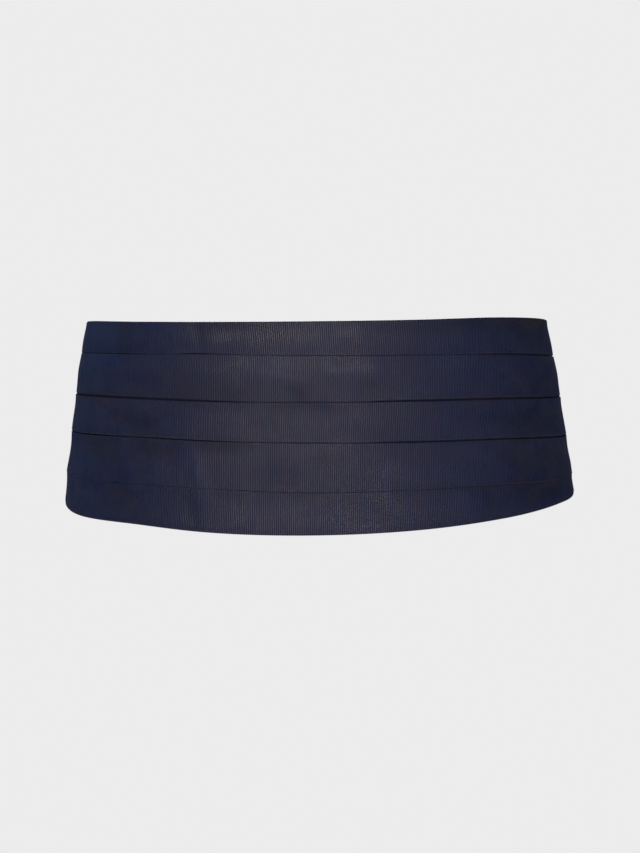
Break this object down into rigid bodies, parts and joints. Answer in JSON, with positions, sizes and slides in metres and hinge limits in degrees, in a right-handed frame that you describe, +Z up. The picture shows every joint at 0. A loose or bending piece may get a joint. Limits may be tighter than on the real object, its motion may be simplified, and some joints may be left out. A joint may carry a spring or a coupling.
{
  "type": "cummerbund",
  "caption": "Pleated silk cummerbund as worn: a curved front of upward-facing knife pleats narrowing to flat back straps, closed at the centre back by a metal hook in a wire eye.",
  "frame": {"origin": "middle of the wearer's waist, level with the middle of the back straps", "axes": "the pleated front faces -Y, +X towards the wearer's left, +Z up"},
  "size_m": [0.3128, 0.2301, 0.1273],
  "materials": {
    "navy_silk": "ribbed silk with a soft sheen",
    "dark_nickel": "dull plated"
  },
  "bodies": {
    "root": {"pleated_front": "navy_silk", "back_strap_left": "navy_silk", "back_strap_right": "navy_silk", "eye_loop": "dark_nickel", "strap_hook": "dark_nickel"}
  },
  "joints": []
}
